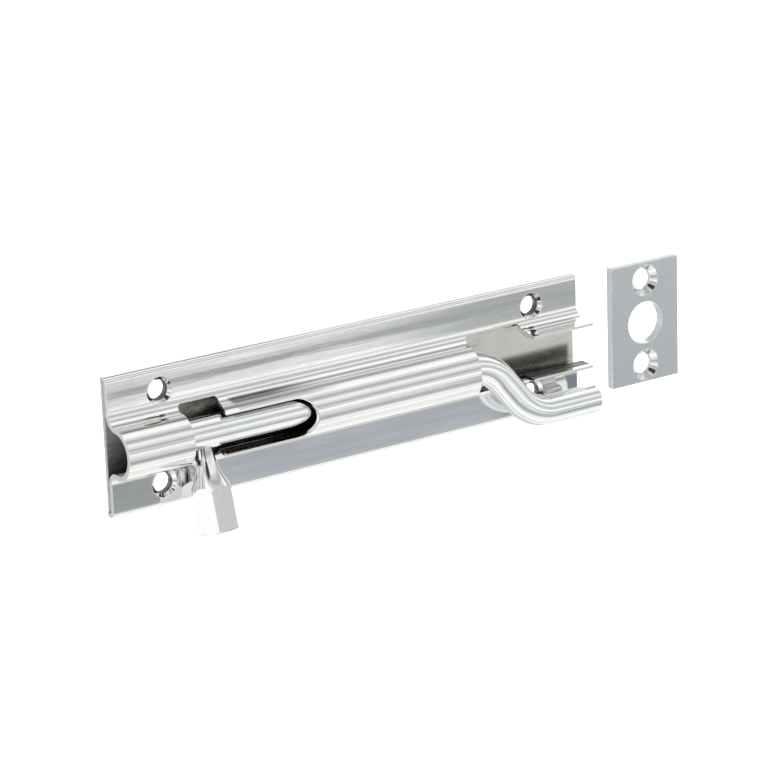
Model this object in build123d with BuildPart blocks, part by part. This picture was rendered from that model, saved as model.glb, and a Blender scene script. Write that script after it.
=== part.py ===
from build123d import *
from math import cos, radians, sin, tan
import os

# A necked barrel bolt for a door, with its flat keep beside it. Millimetres.
# Origin: centre of the bolt's flat back. +X runs towards the shoot's tip, the door is on the +Y side,
# the front faces -Y and +Z is up.

# ---- driving dimensions ----
length = 101.0          # plate, along X (a 4 inch bolt)
height = 25.5           # plate, along Z (1 inch)
sheet = 0.9             # pressed front sheet
front_y = 2.0           # from the back to the front face of the flanges
edge_radius = 1.0       # outside of the turned-back long edges

back_thick = 0.9        # back plate
back_gap = 0.1          # between the back plate's edge and the turned-back edges

axis_y = -4.4           # the shoot's axis, in front of the back
barrel_radius = 4.7     # outside of the pressed barrel
barrel_drop = 0.35      # the barrel is pressed a little below the middle of the plate
root_z = 6.7            # where the flanges end, above and below the middle
prong_height = 7.2      # from the back to the prongs' tips
prong_tip_z = 4.35      # outside of a prong at its tip
prong_tip_thick = 0.5
prong_root = 2.0        # outside fillet where a prong leaves the flange

left_gap = (-36.8, -28.4)    # cross gap where the knob parks, at the flange
left_gap_half = 5.35
left_gap_slants = (4.0, 15.0)    # how far its two cuts lean back, in degrees
right_gap = (24.85, 37.05)   # cross gap where the neck swings, at the flange
right_gap_half = 5.8
right_gap_slants = (10.0, 3.0)
gap_corner = 0.8

slot_end = -12.0        # round end of the knob slot
slot_width = 7.2
slot_lean = 2.0         # the slot sits this far below the middle of the barrel, in degrees
slot_lip = 0.7          # rounding of the slot's two lips
slot_edge = 0.12        # rounding of the slot's rim

screw_x = 40.0          # body screw holes
screw_z = 8.5
screw_radius = 1.8
screw_sink = 2.55

shoot_radius = 2.9
shoot_start = -41.0     # hidden inner end of the shoot
shoot_tip = 50.7
neck_offset = 10.8      # from the shoot's axis to the tip's axis
neck_angle = 56.0       # slope of the neck
neck_bend = 8.0         # centre-line radius of both bends
neck_middle = 31.85     # middle of the neck along X
parked_angle = 74.0     # knob and neck, turned down from straight out
tip_chamfer = 0.7

knob_x = -33.65
knob_seat = 2.5         # distances from the shoot's axis, along the knob
knob_hex_start = 10.4
knob_end = 17.6
knob_corner = 4.0       # half of the hexagon across its corners
knob_root = 1.5         # radius of the knob's neck at the shoot
knob_waist = 0.55       # how far the neck's side bows in
knob_chamfer = 0.35
spigot_radius = 1.2
spigot_clearance = 0.05

groove_x = (-4.0, 12.0)      # shallow groove round the shoot, where the spring rides
groove_depth = 0.35
spring_thick = 0.25
spring_width = 3.6
spring_foot = 2.0
spring_play = 0.1

strike_x = 67.25        # keep, laid flat beside the bolt
strike_width = 16.0
strike_height = 23.8
strike_thick = 1.7
strike_bore = 4.1
strike_screw_z = 8.4
strike_screw = 2.0
strike_sink = 3.1
strike_edge = 0.2

parked = Vector(0, -cos(radians(parked_angle)), -sin(radians(parked_angle)))
half_length = length / 2
half_height = height / 2

os.makedirs("parts", exist_ok=True)


def finish(piece, name):
    """Label a finished piece and write its STEP file."""
    piece.part.label = name
    export_step(piece.part, f"parts/{name}.step")


# ---- casing: one pressed sheet ----
# Its sections are drawn in YZ, each as an upper and a lower half, for a plane that is seen upright
# for side 1 and upside down for side -1.
inner_y = -front_y + sheet
edge_z = half_height - sheet
gap_middle = sum(right_gap) / 2


def half_plane(x, side):
    """The section plane at x for the upper half (side 1) or the lower half (side -1)."""
    return Plane(origin=(x, 0, 0), x_dir=(0, 1, 0), z_dir=(side, 0, 0))


def flange_outline(root):
    """A flange and its turned-back edge, from the outer root round to the inner root."""
    root_y = -front_y - root
    wall_z = root_z - root
    CenterArc((root_y, root_z), root, -90, 90)
    Line((-front_y, root_z), (-front_y, half_height - edge_radius))
    CenterArc((-front_y + edge_radius, half_height - edge_radius), edge_radius, 90, 90)
    Line((-front_y + edge_radius, half_height), (-back_gap, half_height))
    Line((-back_gap, half_height), (0, half_height - back_gap))
    Line((0, half_height - back_gap), (0, edge_z))
    Line((0, edge_z), (inner_y, edge_z))
    Line((inner_y, edge_z), (inner_y, root_z))
    CenterArc((root_y, root_z), root + sheet, -90, 90)
    return root_y, wall_z


def barrel_half(side):
    """Half of the flanges and barrel, from the casing's end to the middle of the neck's gap."""
    root = prong_root + side * barrel_drop
    with BuildSketch(half_plane(-half_length, side)) as half:
        with BuildLine():
            root_y, wall_z = flange_outline(root)
            centre_z = wall_z - barrel_radius
            front = axis_y - barrel_radius
            Line((root_y, wall_z), (axis_y, wall_z))
            CenterArc((axis_y, centre_z), barrel_radius, 90, 90)
            Line((front, centre_z), (front + sheet, centre_z))
            CenterArc((axis_y, centre_z), barrel_radius - sheet, 90, 90)
            Line((axis_y, wall_z - sheet), (root_y, wall_z - sheet))
        make_face()
    extrude(half.sketch, amount=side * (half_length + gap_middle))


def prong_half(side):
    """One flange and guide prong, from the middle of the neck's gap to the casing's end."""
    with BuildSketch(half_plane(gap_middle, side)) as half:
        with BuildLine():
            root_y, wall_z = flange_outline(prong_root)
            Line((root_y, wall_z), (-prong_height, prong_tip_z))
            Line((-prong_height, prong_tip_z), (-prong_height, prong_tip_z - prong_tip_thick))
            Line((-prong_height, prong_tip_z - prong_tip_thick), (root_y, wall_z - sheet))
        make_face()
    extrude(half.sketch, amount=side * (half_length - gap_middle))


def gap_cutter(gap, half, slants):
    """A block that cuts the front sheet across the barrel, with rounded corners at the flange."""
    depth = 12.0
    start = inner_y + 0.02
    left_shift, right_shift = (depth * tan(radians(slant)) for slant in slants)
    with BuildPart() as cutter:
        with BuildSketch(Plane.XY):
            with BuildLine():
                Polyline(
                    (gap[0], start),
                    (gap[1], start),
                    (gap[1] - right_shift, start - depth),
                    (gap[0] - left_shift, start - depth),
                    close=True,
                )
            make_face()
        extrude(amount=half, both=True)
        sides = cutter.edges().filter_by(lambda edge: abs(edge.tangent_at(0.5).Y) > 0.9)
        fillet(sides, gap_corner)
    return cutter.part


def on_slot_rim(edge):
    """True for an edge of the slot that lies on the barrel's round outside."""
    middle = edge.position_at(0.5)
    from_axis = Vector(0, middle.Y - axis_y, middle.Z + barrel_drop).length
    outside = abs(from_axis - barrel_radius) < 0.02 and middle.Y < axis_y - 0.6
    return outside and left_gap[0] < middle.X < slot_end + slot_width


knob_gap = gap_cutter(left_gap, left_gap_half, left_gap_slants)
neck_gap = gap_cutter(right_gap, right_gap_half, right_gap_slants)
slot_normal = Vector(0, -cos(radians(slot_lean)), -sin(radians(slot_lean)))
slot_plane = Plane(origin=(0, axis_y, -barrel_drop), x_dir=(1, 0, 0), z_dir=slot_normal)
slot_centre = slot_end - slot_width / 2
slot_mouth = left_gap[0] + 4
lip_x = left_gap[1] - 2
lip_spread = slot_width / 2 + slot_lip
screw_plane = Plane(origin=(0, -front_y, 0), x_dir=(1, 0, 0), z_dir=(0, -1, 0))

with BuildPart() as casing:
    for side in (1, -1):
        barrel_half(side)
        prong_half(side)
    add(knob_gap, mode=Mode.SUBTRACT)
    add(neck_gap, mode=Mode.SUBTRACT)
    # the knob slot, open to the parking gap between two rounded lips
    with BuildSketch(slot_plane):
        with Locations((slot_mouth, 0)):
            Rectangle(slot_centre - slot_mouth, slot_width, align=(Align.MIN, Align.CENTER))
        with Locations((slot_centre, 0)):
            Circle(slot_width / 2)
        with Locations((slot_mouth, 0)):
            Rectangle(lip_x + slot_lip - slot_mouth, 2 * lip_spread, align=(Align.MIN, Align.CENTER))
        with Locations((lip_x + slot_lip, lip_spread), (lip_x + slot_lip, -lip_spread)):
            Circle(slot_lip, mode=Mode.SUBTRACT)
    extrude(amount=8, mode=Mode.SUBTRACT)
    fillet(casing.edges().filter_by(on_slot_rim), slot_edge)
    # countersunk screw holes
    with Locations(screw_plane):
        with GridLocations(2 * screw_x, 2 * screw_z, 2, 2):
            CounterSinkHole(screw_radius, screw_sink, depth=2 * front_y, counter_sink_angle=90)
finish(casing, "casing")

# ---- back plate: lies inside the turned-back edges ----
with BuildPart() as back_plate:
    with BuildSketch(Plane.XZ):
        Rectangle(length - 0.2, 2 * (edge_z - back_gap))
    extrude(amount=back_thick)
    with Locations(screw_plane):
        with GridLocations(2 * screw_x, 2 * screw_z, 2, 2):
            Hole(screw_radius, depth=2 * front_y)
finish(back_plate, "back_plate")

# ---- shoot: a round rod, cranked in the plane of the knob ----
neck_plane = Plane(origin=(0, axis_y, 0), x_dir=(1, 0, 0), z_dir=Vector(1, 0, 0).cross(parked))
corner_run = neck_offset / 2 / tan(radians(neck_angle))

with BuildPart() as shoot:
    with BuildLine(neck_plane) as shoot_path:
        FilletPolyline(
            (shoot_start, 0),
            (neck_middle - corner_run, 0),
            (neck_middle + corner_run, neck_offset),
            (shoot_tip, neck_offset),
            radius=neck_bend,
        )
    with BuildSketch(Plane(origin=(shoot_start, axis_y, 0), z_dir=(1, 0, 0))):
        Circle(shoot_radius)
    sweep()
    chamfer(shoot.edges().filter_by(GeomType.CIRCLE).sort_by(Axis.X)[0], tip_chamfer)
    chamfer(shoot.edges().filter_by(GeomType.CIRCLE).sort_by(Axis.X)[-1], tip_chamfer)
    # flat seat and hole for the knob
    with BuildSketch(Plane(origin=(knob_x, axis_y, 0) + parked * knob_seat, z_dir=parked)):
        Circle(knob_root + spigot_clearance)
    extrude(amount=shoot_radius, mode=Mode.SUBTRACT)
    with BuildSketch(Plane(origin=(knob_x, axis_y, 0), z_dir=parked)):
        Circle(spigot_radius + spigot_clearance)
    extrude(amount=shoot_radius, mode=Mode.SUBTRACT)
    # groove for the spring
    with BuildSketch(Plane(origin=(groove_x[0], axis_y, 0), z_dir=(1, 0, 0))):
        Circle(shoot_radius + 1)
        Circle(shoot_radius - groove_depth, mode=Mode.SUBTRACT)
    extrude(amount=groove_x[1] - groove_x[0], mode=Mode.SUBTRACT)
finish(shoot, "shoot")

# ---- knob: hexagon bar, turned down to a flared neck and a spigot ----
knob_profile = Plane(origin=(knob_x, axis_y, 0), x_dir=(1, 0, 0), z_dir=Vector(1, 0, 0).cross(parked))
flare_middle = ((knob_root + knob_corner) / 2 - knob_waist, (knob_seat + knob_hex_start) / 2)

with BuildPart() as knob:
    with BuildSketch(knob_profile):
        with BuildLine():
            Line((0, 0.2), (spigot_radius, 0.2))
            Line((spigot_radius, 0.2), (spigot_radius, knob_seat))
            Line((spigot_radius, knob_seat), (knob_root, knob_seat))
            ThreePointArc((knob_root, knob_seat), flare_middle, (knob_corner + 0.1, knob_hex_start))
            Line((knob_corner + 0.1, knob_hex_start), (knob_corner + 0.1, knob_end - knob_chamfer))
            Line((knob_corner + 0.1, knob_end - knob_chamfer), (knob_corner - 0.6, knob_end))
            Line((knob_corner - 0.6, knob_end), (0, knob_end))
            Line((0, knob_end), (0, 0.2))
        make_face()
    revolve(axis=Axis((knob_x, axis_y, 0), parked))
    with BuildSketch(Plane(origin=(knob_x, axis_y, 0), x_dir=(1, 0, 0), z_dir=parked)):
        RegularPolygon(knob_corner, 6)
    extrude(amount=knob_end + 1, mode=Mode.INTERSECT)
finish(knob, "knob")

# ---- friction spring: a bowed leaf between the shoot's groove and the back plate ----
spring_x = (groove_x[0] + 0.5, groove_x[1] - 0.5)
spring_back = -back_thick
spring_top = axis_y + shoot_radius - groove_depth + spring_play
bow = [(spring_x[0] + spring_foot, spring_back), (spring_x[1] - spring_foot, spring_back)]
bow_middle = (sum(spring_x) / 2, spring_top + spring_thick)

with BuildPart() as friction_spring:
    with BuildSketch(Plane.XY.offset(-spring_width / 2)):
        with BuildLine() as leaf_line:
            Line((spring_x[0], spring_back), bow[0])
            ThreePointArc(bow[0], bow_middle, bow[1])
            Line(bow[1], (spring_x[1], spring_back))
            offset(leaf_line.line, amount=spring_thick, side=Side.RIGHT)
        make_face()
    extrude(amount=spring_width)
finish(friction_spring, "friction_spring")

# ---- strike plate: the flat keep ----
strike_front = Plane(origin=(strike_x, -strike_thick, 0), x_dir=(1, 0, 0), z_dir=(0, -1, 0))

with BuildPart() as strike_plate:
    with BuildSketch(Plane(origin=(strike_x, 0, 0), x_dir=(1, 0, 0), z_dir=(0, -1, 0))):
        Rectangle(strike_width, strike_height)
    extrude(amount=strike_thick)
    fillet(strike_plate.edges(), strike_edge)
    with Locations(strike_front):
        Hole(strike_bore, depth=2 * strike_thick)
        with GridLocations(1, 2 * strike_screw_z, 1, 2):
            CounterSinkHole(strike_screw, strike_sink, depth=2 * strike_thick, counter_sink_angle=90)
finish(strike_plate, "strike_plate")
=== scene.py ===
import math

import bpy
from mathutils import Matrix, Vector


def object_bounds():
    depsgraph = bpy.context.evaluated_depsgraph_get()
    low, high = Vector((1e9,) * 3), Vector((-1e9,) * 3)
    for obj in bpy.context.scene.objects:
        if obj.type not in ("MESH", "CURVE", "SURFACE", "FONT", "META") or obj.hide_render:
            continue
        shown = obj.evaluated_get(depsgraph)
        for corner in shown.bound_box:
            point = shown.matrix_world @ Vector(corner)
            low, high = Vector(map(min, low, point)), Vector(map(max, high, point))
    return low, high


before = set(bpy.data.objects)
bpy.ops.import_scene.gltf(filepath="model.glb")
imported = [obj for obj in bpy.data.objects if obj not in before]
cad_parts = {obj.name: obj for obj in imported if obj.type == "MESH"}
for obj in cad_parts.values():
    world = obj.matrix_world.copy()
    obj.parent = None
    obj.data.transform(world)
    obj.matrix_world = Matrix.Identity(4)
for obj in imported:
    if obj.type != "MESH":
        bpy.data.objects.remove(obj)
cad_low, cad_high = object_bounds()

scene = bpy.context.scene
scene.view_settings.view_transform = "Standard"
millimetre = 0.001

# ---- camera: the photograph's viewing angle ----
camera_place = Vector((-0.30178, -0.46798, 0.17590))
camera_turn = (math.radians(72.53), math.radians(1.98), math.radians(-34.12))
camera_lens = 151.4
sensor_width = 36


def make_camera():
    data = bpy.data.cameras.new("camera")
    data.lens = camera_lens
    data.sensor_width = sensor_width
    camera = bpy.data.objects.new("camera", data)
    camera.location = camera_place
    camera.rotation_euler = camera_turn
    scene.collection.objects.link(camera)
    scene.camera = camera


# ---- nodes ----
def put(tree, value, socket):
    """Set a socket to a constant, or link an output to it."""
    if isinstance(value, bpy.types.NodeSocket):
        tree.links.new(value, socket)
    else:
        socket.default_value = value


def add(tree, kind, inputs, **settings):
    """A node with its properties set, and its inputs given by name or number."""
    node = tree.nodes.new("ShaderNode" + kind)
    for name, value in settings.items():
        setattr(node, name, value)
    for key, value in inputs.items():
        put(tree, value, node.inputs[key])
    return node


def calc(tree, operation, *terms, clamp=False):
    node = add(tree, "Math", dict(enumerate(terms)), operation=operation, use_clamp=clamp)
    return node.outputs[0]


def product(tree, *factors):
    result = factors[0]
    for factor in factors[1:]:
        result = calc(tree, "MULTIPLY", result, factor)
    return result


def largest(tree, *values):
    result = values[0]
    for value in values[1:]:
        result = calc(tree, "MAXIMUM", result, value)
    return result


def dot(tree, first, second):
    inputs = {0: first, 1: second}
    return add(tree, "VectorMath", inputs, operation="DOT_PRODUCT").outputs["Value"]


def between(tree, value, start, end, out_start=0.0, out_end=1.0):
    """A smooth step from out_start to out_end, as the value goes from start to end.

    End may be the lower of the two."""
    inputs = {
        "Value": value,
        "From Min": start,
        "From Max": end,
        "To Min": out_start,
        "To Max": out_end,
    }
    return add(tree, "MapRange", inputs, interpolation_type="SMOOTHSTEP").outputs[0]


def window(tree, value, start, full, fading, end):
    """1 between full and fading, falling smoothly to 0 at start and end."""
    return product(tree, between(tree, value, start, full), between(tree, value, end, fading))


def ramp(tree, factor, stops):
    """A colour ramp whose stops are (place, grey level or colour)."""
    node = add(tree, "ValToRGB", {0: factor})
    elements = node.color_ramp.elements
    while len(elements) < len(stops):
        elements.new(0.5)
    for element, (place, colour) in zip(elements, stops):
        element.position = place
        element.color = (*colour, 1) if isinstance(colour, tuple) else (colour, colour, colour, 1)
    return node.outputs[0]


def blend_value(tree, factor, first, second):
    # the numbers are the Mix node's sockets for a plain value
    return add(tree, "Mix", {0: factor, 2: first, 3: second}).outputs[0]


def blend_colour(tree, factor, first, second, mode="MIX"):
    # the numbers are the Mix node's sockets for a colour
    inputs = {0: factor, 6: first, 7: second}
    return add(tree, "Mix", inputs, data_type="RGBA", blend_type=mode).outputs[2]


def tinted(tree, colour, by):
    """A colour multiplied by another colour or by a grey level."""
    return blend_colour(tree, 1.0, colour, by, "MULTIPLY")


def noise(tree, place, scale, detail=2.0, rough=0.5):
    """Noise of one cell per millimetre in each direction, times scale, from 0 to 1."""
    stretched = add(tree, "Mapping", {"Vector": place, "Scale": scale}).outputs[0]
    inputs = {"Vector": stretched, "Scale": 1.0, "Detail": detail, "Roughness": rough}
    return add(tree, "TexNoise", inputs).outputs[0]


def millimetres(tree):
    """The object's own coordinates in millimetres, which are the CAD frame's."""
    place = add(tree, "TexCoord", {}).outputs["Object"]
    scale = 3 * (1 / millimetre,)
    return add(tree, "Mapping", {"Vector": place, "Scale": scale}).outputs[0]


# ---- studio: soft light all round, in bands along the bolt ----
# (direction round the bolt's length in degrees, 0 in front and 90 overhead, then its brightness)
studio_bands = [
    (-180, 1.20),
    (-120, 1.12),
    (-98, 1.02),
    (-86, 0.88),
    (-76, 0.92),
    (-66, 1.25),
    (-58, 1.00),
    (-46, 0.96),
    (-40, 0.70),
    (-35, 0.44),
    (-26, 0.54),
    (-17, 0.76),
    (-6, 0.82),
    (0, 1.05),
    (5, 1.25),
    (10, 0.95),
    (16, 0.72),
    (24, 0.48),
    (30, 0.70),
    (37, 0.95),
    (46, 0.98),
    (54, 0.70),
    (63, 0.48),
    (70, 0.72),
    (78, 1.05),
    (86, 1.25),
    (97, 1.05),
    (107, 0.84),
    (115, 0.40),
    (121, 0.66),
    (130, 0.98),
    (155, 1.20),
]
studio_peak = 1.3
studio_gain = 1.18

# (direction, inner and outer half angle in degrees, brightness)
studio_patches = [
    ((-0.46, -0.58, 0.67), 10, 17, 0.04),   # over the camera
    ((-0.50, -0.78, 0.38), 5, 10, 0.05),    # the camera
    ((-0.26, -0.93, 0.26), 4, 8, 0.06),     # beside it
    ((0.47, -0.87, 0.15), 2, 3.5, 0.48),    # in front to the right, seen in the knob
]
hanging_tone = (0.02, 0.02, 0.02, 1)
hanging_depth = 0.5
wall_tone = (0.60, 0.61, 0.62, 1)
panel_tone = (0.82, 0.83, 0.84, 1)
fold_count = 10.0
cool_tint = (0.97, 0.985, 1.00)
warm_tint = (1.00, 1.00, 0.96)


def patch(tree, where, direction, inner, outer):
    """1 in a round patch about a direction, its soft rim between two half angles in degrees."""
    rim, middle = math.cos(math.radians(outer)), math.cos(math.radians(inner))
    return between(tree, dot(tree, where, direction), rim, middle)


def make_world():
    world = bpy.data.worlds.new("studio")
    scene.world = world
    world.use_nodes = True
    tree = world.node_tree
    tree.nodes.clear()
    where = add(tree, "TexCoord", {}).outputs["Generated"]
    split = add(tree, "SeparateXYZ", {0: where})
    sideways = split.outputs["X"]
    behind = split.outputs["Y"]
    angle = calc(tree, "ARCTAN2", split.outputs["Z"], calc(tree, "MULTIPLY", behind, -1.0))
    share = calc(tree, "MULTIPLY_ADD", angle, 0.5 / math.pi, 0.5)
    stops = [((degrees + 180) / 360, level / studio_peak) for degrees, level in studio_bands]
    light = ramp(tree, share, stops)
    # thin folds in the tent, and their slight tints
    turns = {0: calc(tree, "MULTIPLY", angle, fold_count), 1: sideways}
    turns = add(tree, "CombineXYZ", turns).outputs[0]
    folds = add(tree, "TexNoise", {"Vector": turns, "Scale": 1.0, "Detail": 2.0}).outputs[0]
    tint = add(tree, "TexNoise", {"Vector": turns, "Scale": 0.35, "Detail": 1.0}).outputs[0]
    light = tinted(tree, light, between(tree, folds, 0.3, 0.7, 0.84, 1.10))
    light = tinted(tree, light, ramp(tree, tint, [(0.38, cool_tint), (0.62, warm_tint)]))
    # a dark hanging high behind the left end
    high = window(tree, angle, *(math.radians(degrees) for degrees in (101, 110, 140, 152)))
    wide = window(tree, sideways, 0.36, 0.42, 0.49, 0.515)
    light = blend_colour(tree, product(tree, high, wide, hanging_depth), light, hanging_tone)
    for direction, inner, outer, tone in studio_patches:
        here = patch(tree, where, direction, inner, outer)
        light = blend_colour(tree, here, light, (tone, tone, tone, 1))
    # the wall behind the bolt is dimmer, but for a bright strip on its right
    strip = window(tree, sideways, 0.38, 0.44, 0.62, 0.68)
    wall = product(tree, between(tree, behind, 0.10, 0.40), calc(tree, "SUBTRACT", 1.0, strip))
    light = blend_colour(tree, wall, light, tinted(tree, light, wall_tone))
    # a bright panel to the left
    light = blend_colour(tree, between(tree, sideways, -0.82, -0.94), light, panel_tone)
    inputs = {"Color": light, "Strength": studio_peak * studio_gain}
    add(tree, "OutputWorld", {"Surface": add(tree, "Background", inputs).outputs[0]})


# ---- the floor, and two reflector cards that only reflections see ----
floor_half = 6.0
floor_drop = 1 * millimetre
card_y = -0.080
card_x = (-0.012, 0.112)
card_wander = 1.4       # millimetres that the cards' bands rise and fall
card_fade = 0.9


def make_sheet(name, corners, material):
    mesh = bpy.data.meshes.new(name)
    mesh.from_pydata(corners, [], [(0, 1, 2, 3)])
    mesh.materials.append(material)
    sheet = bpy.data.objects.new(name, mesh)
    scene.collection.objects.link(sheet)
    return sheet


def make_floor():
    material = bpy.data.materials.new("floor")
    material.use_nodes = True
    inputs = material.node_tree.nodes["Principled BSDF"].inputs
    inputs["Base Color"].default_value = (0.9, 0.9, 0.9, 1)
    inputs["Roughness"].default_value = 0.9
    inputs["Emission Color"].default_value = (1, 1, 1, 1)
    inputs["Emission Strength"].default_value = 1.0
    floor_z = cad_low.z - floor_drop
    signs = ((-1, -1), (1, -1), (1, 1), (-1, 1))
    corners = [(x * floor_half, y * floor_half, floor_z) for x, y in signs]
    floor = make_sheet("floor", corners, material)
    floor.visible_glossy = False


def make_card(name, low_z, high_z, tones, left, right):
    """A card in front of the bolt, in level bands from its low edge to its high one.

    left and right are the tone that the bands fade to at that end, and the X in millimetres
    where it starts and where it is full."""
    material = bpy.data.materials.new(name)
    material.use_nodes = True
    tree = material.node_tree
    tree.nodes.clear()
    place = millimetres(tree)
    split = add(tree, "SeparateXYZ", {0: place})
    wander = noise(tree, place, (0.02, 0.0, 0.3), 1.0)
    height = calc(tree, "MULTIPLY_ADD", wander, card_wander, split.outputs["Z"])
    bottom = low_z / millimetre + card_wander / 2
    top = bottom + (high_z - low_z) / millimetre
    inputs = {"Value": height, "From Min": bottom, "From Max": top}
    light = ramp(tree, add(tree, "MapRange", inputs).outputs[0], tones)
    for tone, start, full in (left, right):
        fade = between(tree, split.outputs["X"], start, full, 0.0, card_fade)
        light = blend_colour(tree, fade, light, (*tone, 1))
    lines = noise(tree, place, (0.03, 0.0, 1.3), 2.0)
    light = tinted(tree, light, between(tree, lines, 0.3, 0.7, 0.90, 1.08))
    glow = add(tree, "Emission", {"Color": light, "Strength": studio_gain})
    add(tree, "OutputMaterial", {"Surface": glow.outputs[0]})
    x0, x1 = card_x
    corners = [(x0, card_y, low_z), (x1, card_y, low_z), (x1, card_y, high_z), (x0, card_y, high_z)]
    card = make_sheet(name, corners, material)
    card.visible_camera = False
    card.visible_diffuse = False
    card.visible_transmission = False
    card.visible_shadow = False


def make_cards():
    """One card for each flange, its bands given as (share of its height, tone)."""
    upper_tones = [
        (0.00, (1.10, 1.10, 1.09)),
        (0.15, (1.06, 1.07, 1.06)),
        (0.23, (0.70, 0.71, 0.68)),
        (0.31, (0.90, 0.92, 0.90)),
        (0.40, (0.78, 0.80, 0.79)),
        (0.44, (0.42, 0.43, 0.43)),
        (0.56, (0.37, 0.38, 0.39)),
        (0.61, (0.58, 0.59, 0.61)),
        (0.65, (0.76, 0.78, 0.80)),
        (0.73, (0.64, 0.66, 0.67)),
        (0.79, (0.95, 0.96, 0.97)),
        (0.85, (0.95, 0.96, 0.97)),
        (0.90, (0.76, 0.77, 0.78)),
        (1.00, (0.85, 0.86, 0.87)),
    ]
    upper_left = ((0.70, 0.72, 0.74), -4, -14)
    upper_right = ((0.41, 0.44, 0.42), 50, 86)
    make_card("upper_card", -0.0225, -0.0140, upper_tones, upper_left, upper_right)
    lower_tones = [
        (0.00, (0.66, 0.69, 0.72)),
        (0.25, (0.46, 0.49, 0.52)),
        (0.55, (0.44, 0.48, 0.52)),
        (1.00, (0.43, 0.46, 0.49)),
    ]
    lower_left = ((0.34, 0.36, 0.35), 12, 6)
    lower_right = ((0.20, 0.23, 0.27), 84, 96)
    make_card("lower_card", -0.0450, -0.0365, lower_tones, lower_left, lower_right)


# ---- plated metal ----
length_axis = (1, 0, 0)
edge_radius = 0.2 * millimetre
# the edges' lighter tone is a painted highlight, their extra roughness wear
edge_wear_and_highlight_tone = (0.84, 0.84, 0.84, 1)
edge_wear_and_highlight_share = 0.7
worn_rough = 0.08
line_share = 0.06       # height of the fine lines, as a share of the forming marks'


def plated(name, colour, dull, shine, rough, ripple=0.003, grain=0.0, along=length_axis):
    """Plated metal, whose tone, gloss and surface vary in streaks along a direction.

    colour and dull are its clean and its hazed tone, shine and rough the roughness of each. ripple
    is the height of the forming marks in millimetres, and grain that of the fine pits."""
    material = bpy.data.materials.new(name)
    material.use_nodes = True
    tree = material.node_tree
    shader = tree.nodes["Principled BSDF"]
    shader.inputs["Metallic"].default_value = 1.0
    place = millimetres(tree)
    if along != length_axis:
        side = Vector(length_axis)
        axes = (Vector(along), side, side.cross(Vector(along)))
        parts = [dot(tree, place, axis) for axis in axes]
        place = add(tree, "CombineXYZ", dict(enumerate(parts))).outputs[0]
    marks = noise(tree, place, (0.05, 1.3, 1.3), 3.0, 0.6)
    lines = noise(tree, place, (0.25, 7.0, 7.0), 3.0, 0.7)
    cloud = noise(tree, place, (0.12, 0.2, 0.2), 4.0, 0.6)
    haze = product(tree, between(tree, cloud, 0.42, 0.72), between(tree, lines, 0.35, 0.75))
    haze = calc(tree, "ADD", haze, between(tree, lines, 0.58, 0.80, 0.0, 0.12), clamp=True)
    # wear along the edges, rubbed rougher, and a painted highlight in their lighter tone
    rounded = add(tree, "Bevel", {"Radius": edge_radius}, samples=8).outputs[0]
    flat = add(tree, "NewGeometry", {}).outputs["Normal"]
    edge = between(tree, dot(tree, rounded, flat), 0.995, 0.90)
    tone = blend_colour(tree, haze, (*colour, 1), (*dull, 1))
    tone = blend_colour(tree, product(tree, edge, edge_wear_and_highlight_share), tone, edge_wear_and_highlight_tone)
    gloss = between(tree, haze, 0.0, 1.0, shine, rough)
    gloss = calc(tree, "MULTIPLY_ADD", edge, worn_rough, gloss)
    reliefs = [(marks, ripple), (lines, line_share * ripple)]
    if grain:
        pits = noise(tree, place, (3.0, 5.0, 5.0), 3.0, 0.7)
        tone = tinted(tree, tone, between(tree, pits, 0.35, 0.65, 0.93, 1.05))
        reliefs.append((pits, grain))
    surface = rounded
    for relief, height in reliefs:
        inputs = {"Height": relief, "Distance": millimetre * height, "Normal": surface}
        surface = add(tree, "Bump", {"Strength": 1.0, **inputs}).outputs[0]
    put(tree, tone, shader.inputs["Base Color"])
    put(tree, gloss, shader.inputs["Roughness"])
    put(tree, surface, shader.inputs["Normal"])
    return material


def refinish_and_painted_light(material, mask_of, low_tone, high_tone, rough):
    """Where the mask is 1, another finish, whose tone is mottled between two. Most masks use it for
    painted light, painted shade and a painted dark reflection; on the strike's edges it is a polish
    with a painted highlight.
    """
    tree = material.node_tree
    inputs = tree.nodes["Principled BSDF"].inputs
    colour, roughness = inputs["Base Color"], inputs["Roughness"]
    place = millimetres(tree)
    split = add(tree, "SeparateXYZ", {0: place}).outputs
    mask = mask_of(tree, split["X"], split["Y"], split["Z"])
    mottle_noise = noise(tree, place, (0.3, 0.9, 0.9), 4.0, 0.6)
    mottled = ramp(tree, mottle_noise, [(0.35, low_tone), (0.7, high_tone)])
    before = colour.links[0].from_socket
    put(tree, blend_colour(tree, mask, before, mottled), colour)
    before = roughness.links[0].from_socket
    put(tree, blend_value(tree, mask, before, rough), roughness)


# ---- masks, from the object's place in millimetres ----
# these repeat the CAD's sizes
barrel_axis = (-4.4, -0.35)     # Y and Z
barrel_inside = 3.8
flange_back = -1.1
plate_middle = (-0.6, -0.9)     # Y between the back plate's back and its front
edge_inside = 11.85
screw_x = 40.0
screw_z = 8.5
screw_radius = 1.8
strike_x = 67.25
strike_half = 8.0
strike_screw_z = 8.4
strike_screw_rim = 3.02
strike_bore_rim = 4.20
mask_blur = 0.08


def distance(tree, first, first_middle, second, second_middle):
    """How far a point lies from an axis, from the two coordinates across it."""
    one = calc(tree, "POWER", calc(tree, "SUBTRACT", first, first_middle), 2.0)
    two = calc(tree, "POWER", calc(tree, "SUBTRACT", second, second_middle), 2.0)
    return calc(tree, "SQRT", calc(tree, "ADD", one, two))


def up_to(tree, value, limit, blur=mask_blur):
    """1 up to a limit, and 0 past its blur."""
    return between(tree, value, limit + blur, limit)


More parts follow.
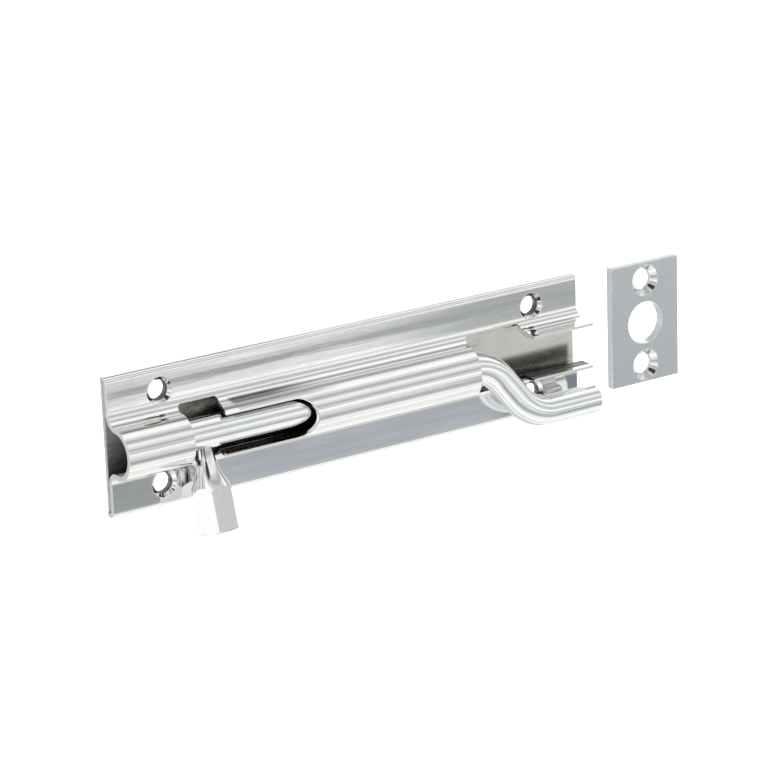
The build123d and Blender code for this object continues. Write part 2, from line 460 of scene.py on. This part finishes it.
def screw_walls(tree, x, y, z):
    across = calc(tree, "ABSOLUTE", x)
    level = calc(tree, "ABSOLUTE", z)
    return up_to(tree, distance(tree, across, screw_x, level, screw_z), screw_radius + 0.08)


def barrel_bore(tree, y, z):
    reach = distance(tree, y, barrel_axis[0], z, barrel_axis[1])
    return up_to(tree, reach, barrel_inside + 0.04)


def plate_front(tree, y):
    return between(tree, y, *plate_middle)


def open_end(tree, x):
    return between(tree, x, -42.0, -48.0)


# painted shade: the barrel's bore, the casing's back faces within its edges and the screw holes'
# walls, darkened in the tone
def painted_shade_inside_casing(tree, x, y, z):
    behind = between(tree, y, flange_back - 0.04 - mask_blur, flange_back - 0.04)
    behind = product(tree, behind, up_to(tree, calc(tree, "ABSOLUTE", z), edge_inside + 0.02))
    return largest(tree, barrel_bore(tree, y, z), behind, screw_walls(tree, x, y, z))


def painted_shoulder_reflection(tree, x, y, z):
    """A painted dark reflection, as a streak on the long barrel's shoulder, fading away from its
    knob end.
    """
    outwards = calc(tree, "SUBTRACT", barrel_axis[0], y)
    upwards = calc(tree, "SUBTRACT", z, barrel_axis[1])
    degrees = calc(tree, "MULTIPLY", calc(tree, "ARCTAN2", upwards, outwards), math.degrees(1))
    top = product(tree, between(tree, degrees, 71, 86), between(tree, x, -7.0, -21.0, 0.0, 0.80))
    band = window(tree, degrees, 52, 58, 62, 67)
    band = product(tree, band, between(tree, x, -4.0, -14.0, 0.0, 0.40))
    start = between(tree, x, -27.6, -26.6)
    return product(tree, largest(tree, top, band), start, between(tree, z, 4.9, 4.55))


def lit_bore(tree, x, y, z):
    """The inside of the barrel where light comes in at its open left end."""
    return product(tree, barrel_bore(tree, y, z), open_end(tree, x))


def lit_plate(tree, x, y, z):
    """The same light on the back plate, falling from above."""
    from_above = between(tree, z, -5.5, 3.5, 0.1, 1.0)
    return product(tree, plate_front(tree, y), open_end(tree, x), from_above)


# painted shade on the back plate's front under the barrel, left of X 17 to 21 mm, and on the screw
# holes' walls
def painted_shade_behind_barrel(tree, x, y, z):
    left = product(tree, between(tree, x, 21.0, 17.0), plate_front(tree, y))
    return largest(tree, left, screw_walls(tree, x, y, z))


def painted_shade_behind_shoot(tree, x, y, z):
    """Painted shade and a painted dark reflection, as a strip on the back plate's front where the
    shoot passes between the prongs.
    """
    across = window(tree, z, -6.6, -5.0, -1.6, -0.1)
    along = window(tree, x, 30.0, 35.0, 48.6, 49.8)
    return product(tree, across, along, plate_front(tree, y), 0.85)


# the strike's hole rims and side faces: polished smoother, and their lighter tone a painted
# highlight
def strike_polish_and_highlight(tree, x, y, z):
    level = calc(tree, "ABSOLUTE", z)
    side = calc(tree, "ABSOLUTE", calc(tree, "SUBTRACT", x, strike_x))
    screw = distance(tree, x, strike_x, level, strike_screw_z)
    bore = distance(tree, x, strike_x, z, 0.0)
    return largest(
        tree,
        up_to(tree, screw, strike_screw_rim),
        up_to(tree, bore, strike_bore_rim, 0.10),
        between(tree, side, strike_half - 0.10, strike_half - 0.04),
    )


# ---- the pieces' materials ----
# tones of the painted shade inside the casing and on the back plate behind the barrel
painted_shade_low = (0.10, 0.10, 0.095)
painted_shade_high = (0.34, 0.33, 0.31)
knob_turn = math.radians(74)
knob_axis = (0.0, -math.cos(knob_turn), -math.sin(knob_turn))


def dress(name, material):
    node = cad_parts[name]
    node.data.materials.clear()
    node.data.materials.append(material)


def dress_pieces():
    casing = plated("casing_chrome", (0.765, 0.765, 0.757), (0.66, 0.665, 0.66),
                    shine=0.03, rough=0.10)
    # a painted dark reflection on the long barrel's shoulder
    refinish_and_painted_light(casing, painted_shoulder_reflection, (0.02, 0.02, 0.022), (0.07, 0.072, 0.078), rough=0.12)
    # painted shade inside the casing
    refinish_and_painted_light(casing, painted_shade_inside_casing, painted_shade_low, painted_shade_high, rough=0.40)
    refinish_and_painted_light(casing, lit_bore, (0.60, 0.60, 0.60), (0.80, 0.80, 0.80), rough=0.75)
    dress("casing", casing)

    back = plated("back_plate_chrome", (0.68, 0.67, 0.64), (0.52, 0.51, 0.49),
                  shine=0.10, rough=0.30, ripple=0.005)
    # painted shade on the back plate behind the barrel
    refinish_and_painted_light(back, painted_shade_behind_barrel, painted_shade_low, painted_shade_high, rough=0.40)
    refinish_and_painted_light(back, lit_plate, (0.55, 0.55, 0.55), (0.75, 0.75, 0.75), rough=0.75)
    # painted shade and dark reflection behind the shoot
    refinish_and_painted_light(back, painted_shade_behind_shoot, (0.03, 0.03, 0.03), (0.12, 0.12, 0.115), rough=0.30)
    dress("back_plate", back)

    shoot = plated("shoot_chrome", (0.79, 0.80, 0.81), (0.68, 0.69, 0.70),
                   shine=0.04, rough=0.12, ripple=0.002)
    dress("shoot", shoot)

    knob = plated("knob_chrome", (0.79, 0.79, 0.80), (0.64, 0.65, 0.66),
                  shine=0.05, rough=0.22, ripple=0.002, grain=0.0015, along=knob_axis)
    dress("knob", knob)

    strike = plated("strike_satin", (0.585, 0.62, 0.65), (0.54, 0.57, 0.60),
                    shine=0.28, rough=0.40, ripple=0.002, grain=0.001)
    # polished rims and sides, with a painted highlight in their lighter tone
    refinish_and_painted_light(strike, strike_polish_and_highlight, (0.70, 0.71, 0.72), (0.78, 0.78, 0.79), rough=0.07)
    dress("strike_plate", strike)

    spring = plated("spring_steel", (0.50, 0.48, 0.45), (0.30, 0.28, 0.26),
                    shine=0.22, rough=0.45)
    dress("friction_spring", spring)


make_camera()
make_world()
make_floor()
make_cards()
dress_pieces()
